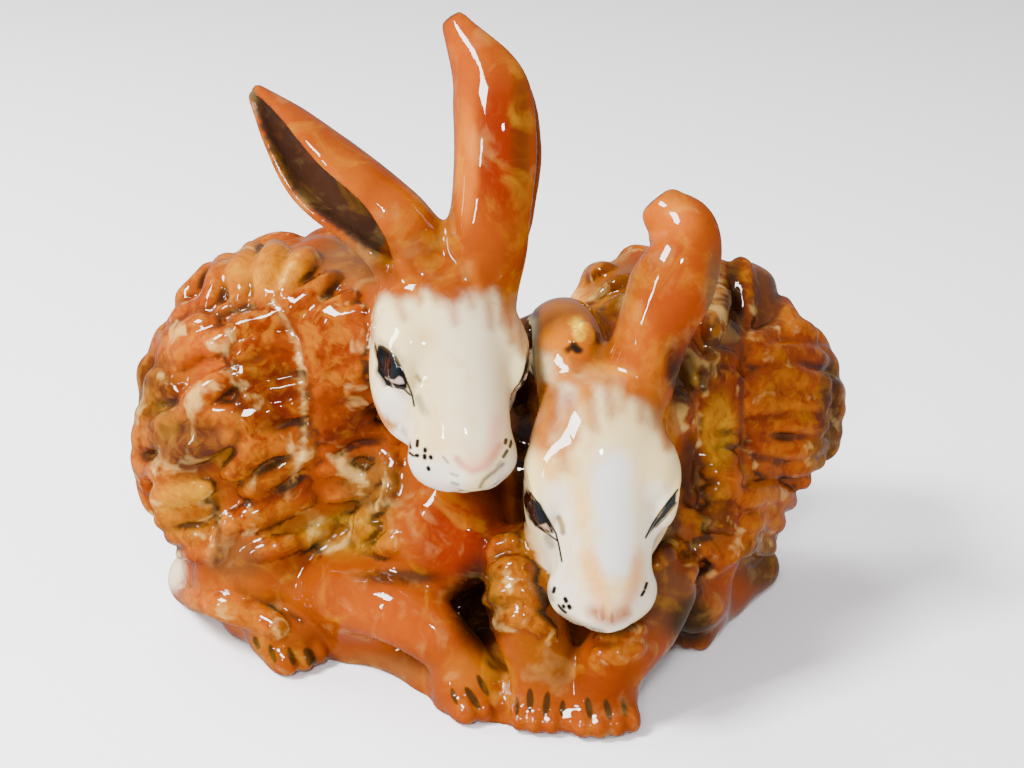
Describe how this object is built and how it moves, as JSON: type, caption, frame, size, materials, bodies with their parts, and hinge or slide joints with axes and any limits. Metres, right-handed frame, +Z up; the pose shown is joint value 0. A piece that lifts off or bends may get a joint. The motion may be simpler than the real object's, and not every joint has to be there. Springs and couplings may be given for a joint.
{
  "type": "animal figurine",
  "caption": "Glossy ceramic figurine of rabbits lying side by side with upright ears and curled fur, cast in one piece on a flat underside.",
  "frame": {"origin": "centre of the bounding box on the surface the figurine stands on", "axes": "+Z up, +X from the left rabbit to the right one as seen in the picture, +Y away from the viewer"},
  "size_m": [0.2518, 0.1684, 0.2172],
  "materials": {
    "glazed_porcelain": "high-gloss painted glaze"
  },
  "bodies": {
    "root": {"rabbit_pair": "glazed_porcelain"}
  },
  "joints": []
}
